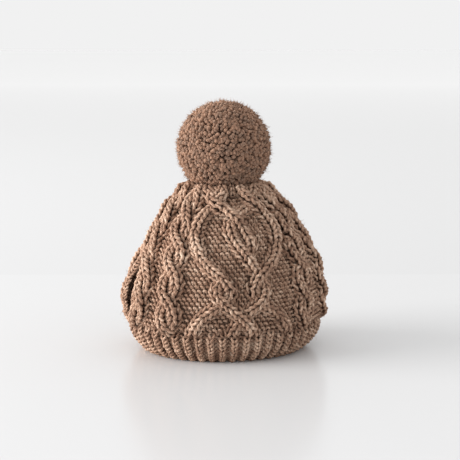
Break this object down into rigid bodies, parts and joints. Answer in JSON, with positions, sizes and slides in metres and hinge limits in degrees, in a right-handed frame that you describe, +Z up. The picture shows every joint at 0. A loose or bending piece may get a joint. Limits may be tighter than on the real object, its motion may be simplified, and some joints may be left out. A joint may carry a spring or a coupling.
{
  "type": "hand-knitted tea cosy",
  "caption": "Dome-shaped knitted tea cosy with raised cables over a ribbed hem, a slit on each side and a pompom on its gathered crown; hollow, rests on its hem.",
  "frame": {"origin": "on the surface that the hem rests on, below the middle of the cosy", "axes": "+Z up through the pompom, -Y out of the front panel, -X towards the wide slit, +X towards the tall slit"},
  "size_m": [0.178, 0.1597, 0.218],
  "materials": {
    "knit_wool": "heathered brown wool, cable knit",
    "pompom_wool": "trimmed wool pile"
  },
  "bodies": {
    "root": {"front_panel": "knit_wool", "back_panel": "knit_wool", "pompom": "pompom_wool"}
  },
  "joints": []
}
